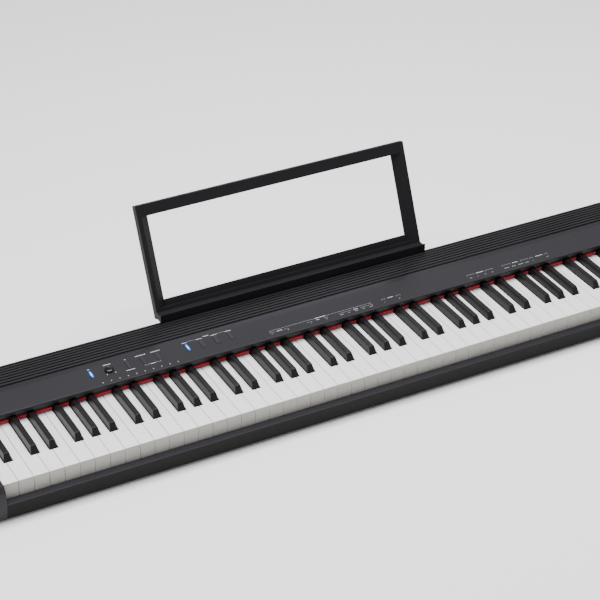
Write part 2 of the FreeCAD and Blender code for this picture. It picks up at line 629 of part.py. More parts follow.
node("rubber_feet", *[
    cylinder(f"Foot{number}", "foot_radius", "foot_height", f"({x}) * foot_x", y, 0)
    for number, (x, y) in enumerate([(x, y) for x in ("-1", "0", "1") for y in ("34", "case_depth - 30")])])
screw_places = [(x, y) for x in (-500, -300, -100, 100, 300, 500) for y in (30, 200)]
node("case_screws", *[
    fuse(f"Screw{number}", cylinder(f"ScrewHead{number}", "3.5", "2", x, y, "foot_height - 2"),
         cylinder(f"ScrewShank{number}", "1.4", "4.5", x, y, "foot_height - 1"))
    for number, (x, y) in enumerate(screw_places)])

# ---------------------------------------------------------------- music rest

frame_outer = box("RestOuter", ("rest_x - rest_half", "rest_x + rest_half"),
                  (0, "rest_depth"), (0, "rest_height"))
window_low = "(rest_x - rest_half + rest_side)"
window_high = "(rest_x + rest_half - rest_side)"
window = box("RestWindow", (window_low, window_high), (-1, "rest_depth + 1"),
             ("rest_rail", "rest_height - rest_top"))
floor_line = "((tray_floor - case_height + rest_depth * sin(rest_lean * 1 deg)) / cos(rest_lean * 1 deg))"
recess = box("RestRecess", (window_low, window_high), (-1, "rest_depth - rest_web"),
             (floor_line, "rest_rail + 1"))
bevels = []
for side, sign in (("Left", "-1"), ("Right", "1")):
    bevel = doc.addObject("Part::Wedge", f"RestBevel{side}")
    rim = f"rest_x + ({sign}) * (rest_half - rest_rim)"
    inner = f"rest_x + ({sign}) * (rest_half - rest_side)"
    low, high = (rim, inner) if side == "Left" else (inner, rim)
    thin = (low, f"{low} + 0.01") if side == "Right" else (f"{high} - 0.01", high)
    for path, text in (("Xmin", low), ("Xmax", high), ("X2min", thin[0]), ("X2max", thin[1]),
                       ("Ymin", 0), ("Ymax", "rest_depth - 2"),
                       ("Zmin", floor_line), ("Zmax", "rest_height - rest_top"),
                       ("Z2min", floor_line), ("Z2max", "rest_height - rest_top")):
        bind(bevel, path, text)
    bevels.append(bevel)
rest_frame = tilted("RestFrame", cut("RestFrameCut", frame_outer, window, recess, *bevels),
                    "rest_y", "case_height", "-rest_lean")
tray_reach = "rest_y + 14"
tray = profile("RestTray",
               [("tray_front", "case_height - 0.4"), ("tray_front", "tray_lip"),
                ("tray_front + 2", "tray_lip"), ("tray_front + 3", "tray_floor"),
                (tray_reach, "tray_floor"), (tray_reach, "tray_floor - tray_wall"),
                ("tray_front + 3.5", "tray_floor - tray_wall"), ("tray_front + 3.5", "case_height - 0.4")],
               "rest_x - rest_half", "rest_x + rest_half")
tray_ends = [box(f"TrayEnd{side}", (low, high), ("tray_front + 1", "rest_y + 6"),
                 ("case_height - 0.4", "tray_floor - 1"))
             for side, low, high in (("Left", "rest_x - rest_half", "rest_x - rest_half + 3"),
                                     ("Right", "rest_x + rest_half - 3", "rest_x + rest_half"))]
tongues, sockets = [], []
for side, sign in (("Left", "-1"), ("Right", "1")):
    middle = f"(rest_x + ({sign}) * tongue_x)"
    half = "(tongue_width / 2 + tongue_play)"
    tongues.append(box(f"Tongue{side}", (f"{middle} - tongue_width / 2", f"{middle} + tongue_width / 2"),
                       ("case_depth + tongue_play", "case_depth + tongue_play + tongue_thick"),
                       ("case_height - tongue_depth", "tray_floor - 1")))
    sockets.append(cut(
        f"Socket{side}",
        box(f"SocketOuter{side}", (f"{middle} - {half} - socket_wall", f"{middle} + {half} + socket_wall"),
            ("case_depth", "case_depth + 2 * tongue_play + tongue_thick + socket_wall"),
            ("case_height - tongue_depth - tongue_play - socket_wall", "case_height - 6")),
        box(f"SocketInner{side}", (f"{middle} - {half}", f"{middle} + {half}"),
            ("case_depth - 1", "case_depth + 2 * tongue_play + tongue_thick"),
            ("case_height - tongue_depth - tongue_play", "case_height + 1"))))
node("music_rest", fuse("MusicRest", rest_frame, tray, *tray_ends, *tongues))
node("rest_sockets", *sockets)

# ---------------------------------------------------------------- check and write

doc.recompute()
failed = [item.Name for item in doc.Objects if "Invalid" in item.State or "Error" in item.State]
if failed:
    raise SystemExit("failed objects: " + ", ".join(failed))
os.makedirs("parts", exist_ok=True)
for item in nodes:
    shape = item.Shape
    if shape.isNull() or not shape.isValid() or not shape.Solids:
        raise SystemExit("bad shape: " + item.Label)
for item in nodes:
    item.Shape.exportStep(f"parts/{item.Label}.step")
    bounds = item.Shape.BoundBox
    print(f"{item.Label:24s} {len(item.Shape.Solids):3d} solids {item.Shape.Volume / 1000:9.1f} cm3"
          f"  X {bounds.XMin:7.1f} {bounds.XMax:7.1f}  Y {bounds.YMin:7.1f} {bounds.YMax:7.1f}"
          f"  Z {bounds.ZMin:6.1f} {bounds.ZMax:6.1f}")
print(len(nodes), "nodes")
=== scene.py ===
# %% [markdown]
# # A portable digital piano
#
# The solid model of the piano arrives as a fixed frame: every key, button and shell is already in
# its place, in metres, on the body that it moves with. This lesson gives those parts their looks.
# The finished piano must be no larger than the solid one.

# %% Load the frame
import json
import math

import bmesh
import bpy
from mathutils import Matrix, Vector


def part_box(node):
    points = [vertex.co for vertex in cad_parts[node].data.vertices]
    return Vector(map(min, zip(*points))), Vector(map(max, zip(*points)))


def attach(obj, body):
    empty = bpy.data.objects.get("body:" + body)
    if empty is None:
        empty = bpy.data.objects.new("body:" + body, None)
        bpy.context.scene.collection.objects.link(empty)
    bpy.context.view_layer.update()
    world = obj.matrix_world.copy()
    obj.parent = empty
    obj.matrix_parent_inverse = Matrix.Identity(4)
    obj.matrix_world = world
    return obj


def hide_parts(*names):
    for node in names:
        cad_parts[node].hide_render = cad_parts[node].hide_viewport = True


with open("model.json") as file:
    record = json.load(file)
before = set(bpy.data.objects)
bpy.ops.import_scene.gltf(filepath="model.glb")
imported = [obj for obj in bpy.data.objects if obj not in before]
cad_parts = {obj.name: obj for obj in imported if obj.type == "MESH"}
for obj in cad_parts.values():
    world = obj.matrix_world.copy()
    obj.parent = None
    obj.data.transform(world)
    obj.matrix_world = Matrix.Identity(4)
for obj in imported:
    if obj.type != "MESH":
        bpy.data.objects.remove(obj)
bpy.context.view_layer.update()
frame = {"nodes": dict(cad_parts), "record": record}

slot_of = {part["node"]: part["material_slot"] for part in frame["record"]["subparts"]}
body_of = {node: body for body, nodes in frame["record"]["behaviour"]["bodies"].items() for node in nodes}

# %% [markdown]
# ## Where things are
#
# Most of the piano is easiest to describe as a maker would, in millimetres: y back from the front
# of the case, z up from the table. The control panel slopes, so it has a little frame of its own,
# with u along the keyboard, v up the slope from the panel's front lip and w out of the surface.

# %% Places in millimetres
CASE_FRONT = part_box("front_rail")[0][1]
LIP = (147.3, 80.2)               # y and z of the panel's front lip
CREST = (208.2, 85.6)             # and of its rear edge, where the grille starts
TILT = math.atan2(CREST[1] - LIP[1], CREST[0] - LIP[0])
CREASE = 50.6                     # up the slope from the lip
RAIL_EDGE = 33.0                  # height at which the front rail turns under
KNOB_X, KNOB_LINE = -377.0, 31.9  # u and v of the volume knob


def spot(x, y, z):
    """A point given in millimetres, y from the front of the case."""
    return Vector((x / 1000, CASE_FRONT + y / 1000, z / 1000))


WHITE_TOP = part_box("key_c4")[1][2]
KEY_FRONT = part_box("key_c4")[0][1]
PANEL = Matrix.Translation(spot(0, *LIP)) @ Matrix.Rotation(TILT, 4, "X") @ Matrix.Scale(0.001, 4)
print("panel slope", round(math.degrees(TILT), 2), "degrees")

# %% [markdown]
# ## Shader sums in plain Python
#
# A finish is a network of nodes, and most of its maths is short: a mask here, one minus it there.
# Writing that as Python expressions is easier to read than a page of links. The class below wraps
# one socket, and each operator on it adds the Math node that does the sum.

# %% A wire that does arithmetic
class Wire:
    """One output socket of a material's node tree."""

    def __init__(self, tree, socket=None):
        self.tree = tree
        self.socket = socket

    def add(self, kind, settings=None, sockets=None, out=0):
        """A new node: its settings first, then the values or wires of its sockets."""
        node = self.tree.nodes.new(kind)
        for key, value in (settings or {}).items():
            if key == "stops":
                while len(node.color_ramp.elements) < len(value):
                    node.color_ramp.elements.new(0.5)
                for element, (position, colour) in zip(node.color_ramp.elements, value):
                    element.position = position
                    element.color = colour
            else:
                setattr(node, key, value)
        for key, value in (sockets or {}).items():
            if isinstance(value, Wire):
                self.tree.links.new(value.socket, node.inputs[key])
            else:
                node.inputs[key].default_value = value
        return Wire(self.tree, node.outputs[out])

    def maths(self, operation, left, right=0.0):
        return self.add("ShaderNodeMath", {"operation": operation}, {0: left, 1: right})

    def __add__(self, other):
        return self.maths("ADD", self, other)

    __radd__ = __add__

    def __sub__(self, other):
        return self.maths("SUBTRACT", self, other)

    def __mul__(self, other):
        return self.maths("MULTIPLY", self, other)

    __rmul__ = __mul__

    def __gt__(self, other):
        return self.maths("GREATER_THAN", self, other)

    def __lt__(self, other):
        return self.maths("LESS_THAN", self, other)

    def blend(self, first, second):
        """first where this mask is 0 and second where it is 1."""
        return self.add("ShaderNodeMix", {"data_type": "RGBA"}, {0: self, 6: first, 7: second}, out=2)


def finish(name, paint, **constants):
    """A material: paint turns Object coordinates into the sockets that vary over the surface."""
    material = bpy.data.materials.new(name)
    material.use_nodes = True
    tree = material.node_tree
    shader = tree.nodes["Principled BSDF"]
    for key, value in constants.items():
        shader.inputs[key.replace("_", " ")].default_value = value
    where = Wire(tree).add("ShaderNodeTexCoord", out="Object")
    for key, wire in paint(where).items():
        tree.links.new(wire.socket, shader.inputs[key])
    return material


def colour(red, green, blue):
    return (red, green, blue, 1.0)


def axis(where, name):
    """One of the three coordinates, X, Y or Z."""
    return where.add("ShaderNodeSeparateXYZ", sockets={"Vector": where}, out=name)


def along_panel(where, column):
    """Distance in metres along one of the panel's axes, and that distance at the panel's origin."""
    direction = PANEL.col[column].xyz * 1000
    wire = where.add("ShaderNodeVectorMath", {"operation": "DOT_PRODUCT"},
                     {0: where, 1: direction}, out="Value")
    return wire, PANEL.translation.dot(direction)


def stretched(where, scale):
    """The same coordinates drawn out, for grain that runs one way."""
    return where.add("ShaderNodeMapping", sockets={"Vector": where, "Scale": scale})


def cloud(where, scale, detail=2.0, roughness=0.5):
    """Soft noise between 0 and 1, scale cells to the metre."""
    return where.add("ShaderNodeTexNoise", sockets={
        "Vector": where, "Scale": scale, "Detail": detail, "Roughness": roughness}, out="Fac")


def relief(height, strength, distance):
    """A normal for small bumps that are distance metres high."""
    return height.add("ShaderNodeBump", sockets={
        "Strength": strength, "Distance": distance, "Height": height}, out="Normal")


# %% [markdown]
# ## Moulded plastics
#
# A piano's case is moulded in a charcoal plastic with a fine spark-eroded grain: at arm's length it
# looks satin, and close up it is a field of tiny pits. A grain a third of a millimetre wide in the
# bump, with the same grain in the roughness, gives that. A second, slower cloud keeps large
# surfaces from looking painted by a machine.

# %% Case, rest and inner plastics
CHARCOAL = ((0.0140, 0.0134, 0.0165), (0.0172, 0.0164, 0.0198))
# Painted shade: the darker base colour of the rail face that turns under the ledge.
UNDERSIDE_SHADE = (0.0050, 0.0042, 0.0042)
CASE_GRAIN = 3200.0    # cells to the metre
BUTTON_GRAIN = 5200.0
SHADED_FLANK_TOP = 0.00035    # height over the panel, in metres, at which the painted shade on a button's flanks ends


def moulded(name, dark, light, roughness, grain=CASE_GRAIN, depth=0.00004, **constants):
    """Moulded plastic with a fine grain; dark and light are the ends of its slow colour change."""
    def paint(where):
        slow = cloud(where, 9.0, 3.0)
        fine = cloud(where, grain, 2.0, 0.6)
        return {"Base Color": slow.blend(colour(*dark), colour(*light)),
                "Roughness": roughness - 0.06 + 0.08 * fine + 0.05 * slow,
                "Normal": relief(fine, 0.35, depth)}
    return finish(name, paint, **constants)


case_plastic = moulded("charcoal_case_plastic", *CHARCOAL, 0.44, Specular_IOR_Level=0.22)
grille_plastic = moulded("grille_plastic", (0.0095, 0.0090, 0.0110), (0.0120, 0.0115, 0.0135), 0.42,
                         Specular_IOR_Level=0.30)
rest_plastic = moulded("music_rest_plastic", (0.0065, 0.0065, 0.0078), (0.0090, 0.0090, 0.0105), 0.56,
                       Specular_IOR_Level=0.12)
inner_plastic = moulded("black_inner_plastic", (0.006, 0.006, 0.006), (0.010, 0.010, 0.010), 0.50,
                        Specular_IOR_Level=0.30)


def panel_paint(where):
    """The case plastic, with a glossier strip behind the crease."""
    up_slope, at_lip = along_panel(where, 1)
    strip = up_slope > at_lip + CREASE / 1000
    slow = cloud(where, 9.0, 3.0)
    fine = cloud(where, CASE_GRAIN, 2.0, 0.6)
    return {"Base Color": slow.blend(*(colour(*end) for end in CHARCOAL)),
            "Roughness": 0.40 + 0.08 * fine - 0.16 * strip,
            "Normal": relief(fine, 0.35, 0.00004)}


def rail_paint(where):
    """The case plastic, with painted shade on the face that turns under the front ledge: a darker base
    colour.
    """
    under = axis(where, "Z") < RAIL_EDGE / 1000
    slow = cloud(where, 9.0, 3.0)
    fine = cloud(where, CASE_GRAIN, 2.0, 0.6)
    ledge = slow.blend(*(colour(*end) for end in CHARCOAL))
    return {"Base Color": under.blend(ledge, colour(*UNDERSIDE_SHADE)),
            "Roughness": 0.42 + 0.08 * fine + 0.2 * under,
            "Normal": relief(fine, 0.35, 0.00004)}


def button_paint(where):
    """Charcoal on the button's top and black on its flanks as painted shade, parted a little under the top.
    """
    height, at_panel = along_panel(where, 2)
    shaded_flank = height < at_panel + SHADED_FLANK_TOP
    fine = cloud(where, BUTTON_GRAIN, 2.0)
    return {"Base Color": shaded_flank.blend(colour(0.020, 0.019, 0.022), colour(0.001, 0.001, 0.001)),
            "Roughness": 0.34 + 0.08 * fine + 0.3 * shaded_flank,
            "Normal": relief(fine, 0.3, 0.00003)}


panel_plastic = finish("panel_plastic", panel_paint, Specular_IOR_Level=0.26)
rail_plastic = finish("front_rail_plastic", rail_paint, Specular_IOR_Level=0.16)
chassis_plastic = moulded("key_chassis_plastic", (0.040, 0.040, 0.043), (0.055, 0.055, 0.058), 0.55)
button_plastic = finish("button_plastic", button_paint, Specular_IOR_Level=0.35)
knob_plastic = moulded("knob_gloss_plastic", (0.0015, 0.0015, 0.0018), (0.0025, 0.0025, 0.0028), 0.16,
                       BUTTON_GRAIN, 0.00001, Specular_IOR_Level=0.4)
print("moulded plastics:", case_plastic.name, grille_plastic.name, rest_plastic.name)

# %% [markdown]
# ## Key plastics
#
# The white keys have an ivory-like surface: a faint brushed hatch that runs along the key, matt
# enough to grip. We draw the noise out along y, and cross it with a second one the other way. Their
# fronts get a darker, warmer base colour, which is painted shade for the light that falls from
# above. The black keys have a coarser, wood-like streak that makes them look like worn ebony.

# %% White and black key finishes
def ivory(where):
    along = cloud(stretched(where, (2600.0, 160.0, 900.0)), 1.0, 3.0, 0.6)
    across = cloud(stretched(where, (300.0, 1900.0, 900.0)), 1.0, 2.0, 0.6)
    hatch = 0.65 * along + 0.35 * across
    slow = cloud(where, 22.0, 2.0)
    top = slow.blend(colour(0.79, 0.79, 0.785), colour(0.84, 0.84, 0.835))
    # Painted shade: the key fronts get a darker, warmer base colour for the light that falls from above.
    front = axis(where, "Y") < KEY_FRONT + 0.0004
    return {"Base Color": front.blend(top, colour(0.37, 0.355, 0.325)),
            "Roughness": 0.30 + 0.16 * hatch,
            "Normal": relief(hatch, 0.25, 0.00003)}


def ebony(where):
    streak = cloud(stretched(where, (1500.0, 60.0, 900.0)), 1.0, 4.0, 0.65)
    fine = cloud(where, 4200.0, 2.0)
    return {"Base Color": streak.blend(colour(0.0050, 0.0042, 0.0050), colour(0.0095, 0.0080, 0.0092)),
            "Roughness": 0.24 + 0.12 * streak,
            "Normal": relief(0.7 * streak + 0.3 * fine, 0.3, 0.00004)}


white_key_plastic = finish("ivory_feel_key_plastic", ivory, Subsurface_Weight=0.06,
                           Subsurface_Scale=0.002)
black_key_plastic = finish("ebony_feel_key_plastic", ebony, Specular_IOR_Level=0.30)
print("key finishes:", white_key_plastic.name, black_key_plastic.name)

# %% [markdown]
# ## Felt, rubber, metals and small parts
#
# The red strip behind the keys is pressed felt: no gloss at all, short fibres in every direction
# and a soft sheen. Rubber is darker and smoother. The metal parts are plated and lightly brushed.

# %% Soft and metal finishes
def felted(dark, light):
    def paint(where):
        fibre = cloud(stretched(where, (2400.0, 2400.0, 5200.0)), 1.0, 4.0, 0.75)
        tuft = cloud(where, 700.0, 3.0)
        return {"Base Color": (0.6 * fibre + 0.4 * tuft).blend(colour(*dark), colour(*light)),
                "Normal": relief(fibre, 0.6, 0.0002)}
    return paint


def brushed(where):
    scratch = cloud(stretched(where, (160.0, 5200.0, 5200.0)), 1.0, 3.0, 0.7)
    return {"Base Color": scratch.blend(colour(0.34, 0.34, 0.35), colour(0.50, 0.50, 0.51)),
            "Roughness": 0.22 + 0.2 * scratch,
            "Normal": relief(scratch, 0.2, 0.00002)}


def inlet_paint(where):
    """Black plastic round the bright centre pin of the power inlet."""
    low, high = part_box("dc_inlet")
    side = axis(where, "X") - (low[0] + high[0]) / 2
    rise = axis(where, "Z") - (low[2] + high[2]) / 2
    pin = (side * side + rise * rise) < 0.0014 ** 2
    grain = cloud(where, CASE_GRAIN, 2.0)
    return {"Base Color": pin.blend(colour(0.010, 0.010, 0.010), colour(0.62, 0.62, 0.63)),
            "Metallic": pin * 1.0,
            "Roughness": 0.42 + 0.08 * grain - 0.15 * pin}


def printed_board(where):
    cells = where.add("ShaderNodeTexVoronoi", {"feature": "DISTANCE_TO_EDGE"},
                      {"Vector": where, "Scale": 190.0}, out="Distance")
    track = cells < 0.06
    return {"Base Color": track.blend(colour(0.012, 0.085, 0.035), colour(0.035, 0.19, 0.075)),
            "Roughness": 0.3 + 0.2 * track,
            "Normal": relief(track, 0.3, 0.00005)}


def cell_jacket_paint(where):
    scuff = cloud(where, 420.0, 4.0, 0.7)
    return {"Base Color": scuff.blend(colour(0.46, 0.30, 0.07), colour(0.60, 0.42, 0.12)),
            "Roughness": 0.22 + 0.22 * scuff}


red_felt = finish("red_key_felt", felted((0.40, 0.004, 0.018), (0.66, 0.012, 0.045)),
                  Roughness=0.95, Sheen_Weight=0.35, Sheen_Roughness=0.5)
grey_felt = finish("grey_stop_felt", felted((0.22, 0.22, 0.23), (0.36, 0.36, 0.37)),
                   Roughness=0.95, Sheen_Weight=0.25)
foot_rubber = moulded("foot_rubber", (0.014, 0.014, 0.014), (0.022, 0.022, 0.022), 0.72, 1500.0, 0.0001)
contact_rubber = moulded("contact_rubber", (0.22, 0.22, 0.23), (0.30, 0.30, 0.31), 0.68, 1500.0, 0.0001)
plated_steel = finish("plated_steel", brushed, Metallic=1.0)
inlet_plastic = finish("power_inlet_plastic", inlet_paint)
speaker_steel = moulded("speaker_frame_paint", (0.016, 0.016, 0.016), (0.024, 0.024, 0.024), 0.42)
speaker_cloth = finish("speaker_cone_paper", felted((0.008, 0.008, 0.008), (0.020, 0.020, 0.020)),
                       Roughness=0.9)
magnet_iron = moulded("magnet_ferrite", (0.06, 0.06, 0.06), (0.10, 0.10, 0.10), 0.6, 900.0, 0.0001)
circuit_board = finish("circuit_board_lacquer", printed_board)
cell_jacket = finish("battery_jacket", cell_jacket_paint, Metallic=0.6)
print("felt, rubber and metal finishes made")

# %% [markdown]
# ## Lit buttons and printing
#
# The power button and the first tone button are clear plastic over a blue lamp: brightest along the
# middle and dimmer to the ends. The legends are a thin layer of pale grey ink.

# %% Lamp and ink finishes
def lamp(node):
    """Paints a lens of light along the middle of a button, pointed at both ends."""
    low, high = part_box(node)
    across, along = (low[0] + high[0]) / 2, (low[1] + high[1]) / 2

    def paint(where):
        side = where.maths("ABSOLUTE", axis(where, "X") - across) * 620.0
        end = (axis(where, "Y") - along) * 125.0
        lens = (side + end * end) * 0.5
        glow = where.add("ShaderNodeValToRGB", {"stops": [
            (0.0, colour(0.62, 0.86, 1.0)), (0.18, colour(0.30, 0.66, 1.0)), (0.38, colour(0.04, 0.24, 0.80)),
            (0.62, colour(0.006, 0.05, 0.24)), (0.95, colour(0.001, 0.006, 0.022))]},
            {"Fac": lens}, out="Color")
        return {"Base Color": cloud(where, 900.0).blend(colour(0.01, 0.02, 0.06), colour(0.01, 0.03, 0.08)),
                "Emission Color": glow,
                "Roughness": 0.16 + 0.1 * cloud(where, 2600.0)}
    return paint


def ink(where):
    speck = cloud(where, 5200.0, 2.0)
    return {"Base Color": speck.blend(colour(0.22, 0.225, 0.24), colour(0.32, 0.325, 0.34)),
            "Roughness": 0.5 + 0.2 * speck}


def bold_ink(where):
    speck = cloud(where, 5200.0, 2.0)
    return {"Base Color": speck.blend(colour(0.44, 0.45, 0.47), colour(0.55, 0.56, 0.58)),
            "Roughness": 0.5 + 0.2 * speck}


LAMPS = {node: finish(node + "_lamp", lamp(node), Emission_Strength=2.6)
         for node in ("power_button", "tone_button_1")}
fine_ink = finish("grey_line_ink", ink)
label_ink = finish("pale_label_ink", bold_ink)
print("lamp and ink finishes:", ", ".join(LAMPS), fine_ink.name, label_ink.name)

FINISH = {"case_plastic": case_plastic, "grille_plastic": grille_plastic, "rest_plastic": rest_plastic,
          "white_key_plastic": white_key_plastic, "black_key_plastic": black_key_plastic,
          "steel": plated_steel, "chassis_plastic": chassis_plastic, "red_felt": red_felt,
          "grey_felt": grey_felt, "contact_rubber": contact_rubber, "foot_rubber": foot_rubber,
          "circuit_board": circuit_board, "speaker_steel": speaker_steel,
          "speaker_cone": speaker_cloth, "magnet": magnet_iron, "inner_plastic": inner_plastic,
          "cell_jacket": cell_jacket, "knob_plastic": knob_plastic, "button_plastic": button_plastic}

# %% [markdown]
# ## Softening the edges of the solids
#
# Moulded parts have no truly sharp edges: each one is a small curve that catches the light, and the
# bright line along it is what makes a dark object readable. A solid from the frame is made of loose
# triangles, so we work on a copy: weld it, clear the needless edges inside flat faces, and bevel the
# edges that show. The copy then stands for the solid.

# %% Helpers for pieces
def piece(name, bm, material, body, angle=40.0):
    """Turns a bmesh into a finished object that rides on a body."""
    mesh = bpy.data.meshes.new(name)
    bm.to_mesh(mesh)
    bm.free()
    mesh.shade_smooth()
    mesh.set_sharp_from_angle(angle=math.radians(angle))
    mesh.materials.append(material)
    made = bpy.data.objects.new(name, mesh)
    bpy.context.scene.collection.objects.link(made)
    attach(made, body)
    return made


def softened(node, width, segments=2, chosen=None, carve=None, material=None):
    """A copy of a solid with its outer edges rounded, width in millimetres, carved first if asked."""
    bm = bmesh.new()
    bm.from_mesh(frame["nodes"][node].data)
    bmesh.ops.remove_doubles(bm, verts=bm.verts, dist=2e-6)
    bmesh.ops.dissolve_limit(bm, angle_limit=math.radians(0.6), verts=bm.verts, edges=bm.edges)
    if carve:
        carve(bm)
    edges = [edge for edge in bm.edges
             if len(edge.link_faces) == 2 and edge.calc_face_angle(0.0) > math.radians(20)
             and (chosen is None or chosen(edge))]
    bmesh.ops.bevel(bm, geom=edges, offset=width / 1000, offset_type="OFFSET", segments=segments,
                    profile=0.5, affect="EDGES", clamp_overlap=True, material=-1)
    made = piece(node + "_moulded", bm, material or FINISH[slot_of[node]], body_of[node])
    weighted = made.modifiers.new("weighted_normals", "WEIGHTED_NORMAL")
    weighted.keep_sharp = True
    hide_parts(node)
    return made


def middle_of(edge):
    return (edge.verts[0].co + edge.verts[1].co) / 2


# %% [markdown]
# ## Keys
#
# A white key is rounded along its top and down its front corners, about half a millimetre. A black
# key has a wider round on every edge of its cap, which draws the two bright lines seen along it.
# Everything under the keys stays sharp, because nobody sees it.

# %% White keys
def white_key_edge(edge):
    """The outline of a key's top, and the front corners under it."""
    on_top = all(vert.co.z > WHITE_TOP - 0.0002 for vert in edge.verts)
    at_front = all(vert.co.y < KEY_FRONT + 0.0002 for vert in edge.verts)
    return on_top or at_front


def black_key_edge(edge):
    """The edges of the cap that stand over the white keys."""
    return middle_of(edge).z > WHITE_TOP + 0.0005


for node in frame["nodes"]:
    if slot_of[node] == "white_key_plastic":
        softened(node, 0.5, 3, white_key_edge)
    elif slot_of[node] == "black_key_plastic":
        softened(node, 0.75, 3, black_key_edge)
print("keys softened")

# %% [markdown]
# ## Case
#
# The panel's front lip is the roundest edge of the case, and it carries the long highlight over the
# keys. A crease parts the panel from a glossier strip before the grille, which is folded down by a
# couple of degrees. The end blocks and the front rail have smaller rounds. The slots of the grille
# are cut crisply, so they get only a hairline.

# %% Case shells
LIP_TOP = spot(0, *LIP)


def lip_edge(edge):
    middle = middle_of(edge)
    return abs(middle.y - LIP_TOP.y) < 0.0006 and abs(middle.z - LIP_TOP.z) < 0.0006


def crease(bm):
    """Folds the rear strip of the panel's top down a little, from the crease to the grille."""
    flat = PANEL.inverted()
    bmesh.ops.bisect_plane(bm, geom=bm.verts[:] + bm.edges[:] + bm.faces[:], dist=1e-7,
                           plane_co=PANEL @ Vector((0, CREASE, 0)), plane_no=PANEL.col[1].xyz.normalized())
    for vert in bm.verts:
        place = flat @ vert.co
        if place.y > CREASE + 1 and place.z > -0.1:
            vert.co = PANEL @ Vector((place.x, place.y, -0.5))


softened("top_panel", 2.6, 6, lip_edge, crease, panel_plastic)
softened("front_rail", 0.5, 3, material=rail_plastic)
softened("left_end_block", 1.2, 4)
softened("right_end_block", 1.2, 4)
softened("bottom_case", 0.6, 2)
softened("louvre_grille", 0.22, 2)
softened("battery_cover", 0.4, 2)
softened("rubber_feet", 0.8, 3)
print("case shells softened")

# %% [markdown]
# ## Music rest
#
# The rest is one open frame in satin black. Its edges are rounder than the case's, since hands lift
# it by the top bar.

# %% Music rest
softened("music_rest", 0.8, 3)
softened("rest_sockets", 0.4, 2)
print("music rest softened")

# %% [markdown]
# ## Controls
#
# The buttons are narrow bars with rounded tops. Two of them glow. The volume knob is turned: we
# spin its outline round the axis, which is how the mould was cut, and lay it on the sloping panel.

# %% Buttons
BUTTONS = [node for node in frame["nodes"] if slot_of[node] == "button_plastic"]
for node in BUTTONS:
    button = softened(node, 0.35, 3)
    if node in LAMPS:
        button.data.materials[0] = LAMPS[node]
print("buttons:", ", ".join(BUTTONS))

# %% Volume knob
KNOB_OUTLINE = [(0.0, 4.3), (1.6, 4.26), (3.2, 4.12), (4.6, 3.85), (5.6, 3.5), (6.4, 3.0), (6.95, 2.35),
                (7.25, 1.6), (7.3, 0.9), (7.1, 0.5), (3.0, 0.5), (3.0, -5.1), (0.0, -5.1)]
bm = bmesh.new()
corners = [bm.verts.new((radius, 0, height)) for radius, height in KNOB_OUTLINE]
outline = [bm.edges.new(pair) for pair in zip(corners, corners[1:])]
bmesh.ops.spin(bm, geom=corners + outline, cent=(0, 0, 0), axis=(0, 0, 1), angle=math.tau, steps=72,
               use_merge=True)
bmesh.ops.remove_doubles(bm, verts=bm.verts, dist=0.001)
bmesh.ops.recalc_face_normals(bm, faces=bm.faces)
bmesh.ops.transform(bm, matrix=PANEL @ Matrix.Translation((KNOB_X, KNOB_LINE, 0)), verts=bm.verts)
knob = piece("volume_knob_turned", bm, knob_plastic, "volume_knob_body")
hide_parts("volume_knob")
bm = bmesh.new()
bmesh.ops.create_cube(bm, size=1.0)
pointer_place = Matrix.Translation((KNOB_X, KNOB_LINE + 4.6, 3.84)) @ Matrix.Rotation(-0.29, 4, "X")
bmesh.ops.transform(bm, matrix=PANEL @ pointer_place @ Matrix.Diagonal((0.6, 2.8, 0.3, 1.0)), verts=bm.verts)
piece("volume_knob_pointer", bm, fine_ink, "volume_knob_body", 30)
print("knob of", len(knob.data.polygons), "faces")

# %% [markdown]
# ## Printed legends
#
# The legends on the panel are small and grey: a label at each button, and over the keys thin
# brackets that show which keys choose a sound, a rhythm or a tuning. Here every label is a row of
# short strokes that spells nothing. Each stroke is a very thin block laid on the panel, so that it
# stays crisp at any distance. Labels are paler than the fine lines, so they are a piece of their own.

# %% Strokes, words and lines
def stroke(bm, u, v, width, height, plane=PANEL, thick=0.04):
    """A bar of ink, middle at u, v on a plane, in millimetres."""
    made = bmesh.ops.create_cube(bm, size=1.0)
    scale = Matrix.Diagonal((width, height, thick, 1.0))
    bmesh.ops.transform(bm, matrix=plane @ Matrix.Translation((u, v, thick / 2 + 0.005)) @ scale,
                        verts=made["verts"])


def word(bm, left, right, v, height=1.5, plane=PANEL):
    """A word from left to right: strokes a millimetre wide, some of them taller."""
    letters = max(1, round((right - left) / 1.35))
    pitch = (right - left) / letters
    for number in range(letters):
        tall = height if number % 3 != 1 else height * 0.78
        stroke(bm, left + (number + 0.5) * pitch, v, pitch * 0.72, tall, plane)


def line(bm, left, right, v, leg=0.0):
    """A thin line, with a leg at its outer ends when leg is not 0 and up or down by its sign."""
    stroke(bm, (left + right) / 2, v, right - left, 0.4)
    if leg:
        for u in (left + 0.2, right - 0.2):
            stroke(bm, u, v + leg / 2, 0.4, abs(leg))


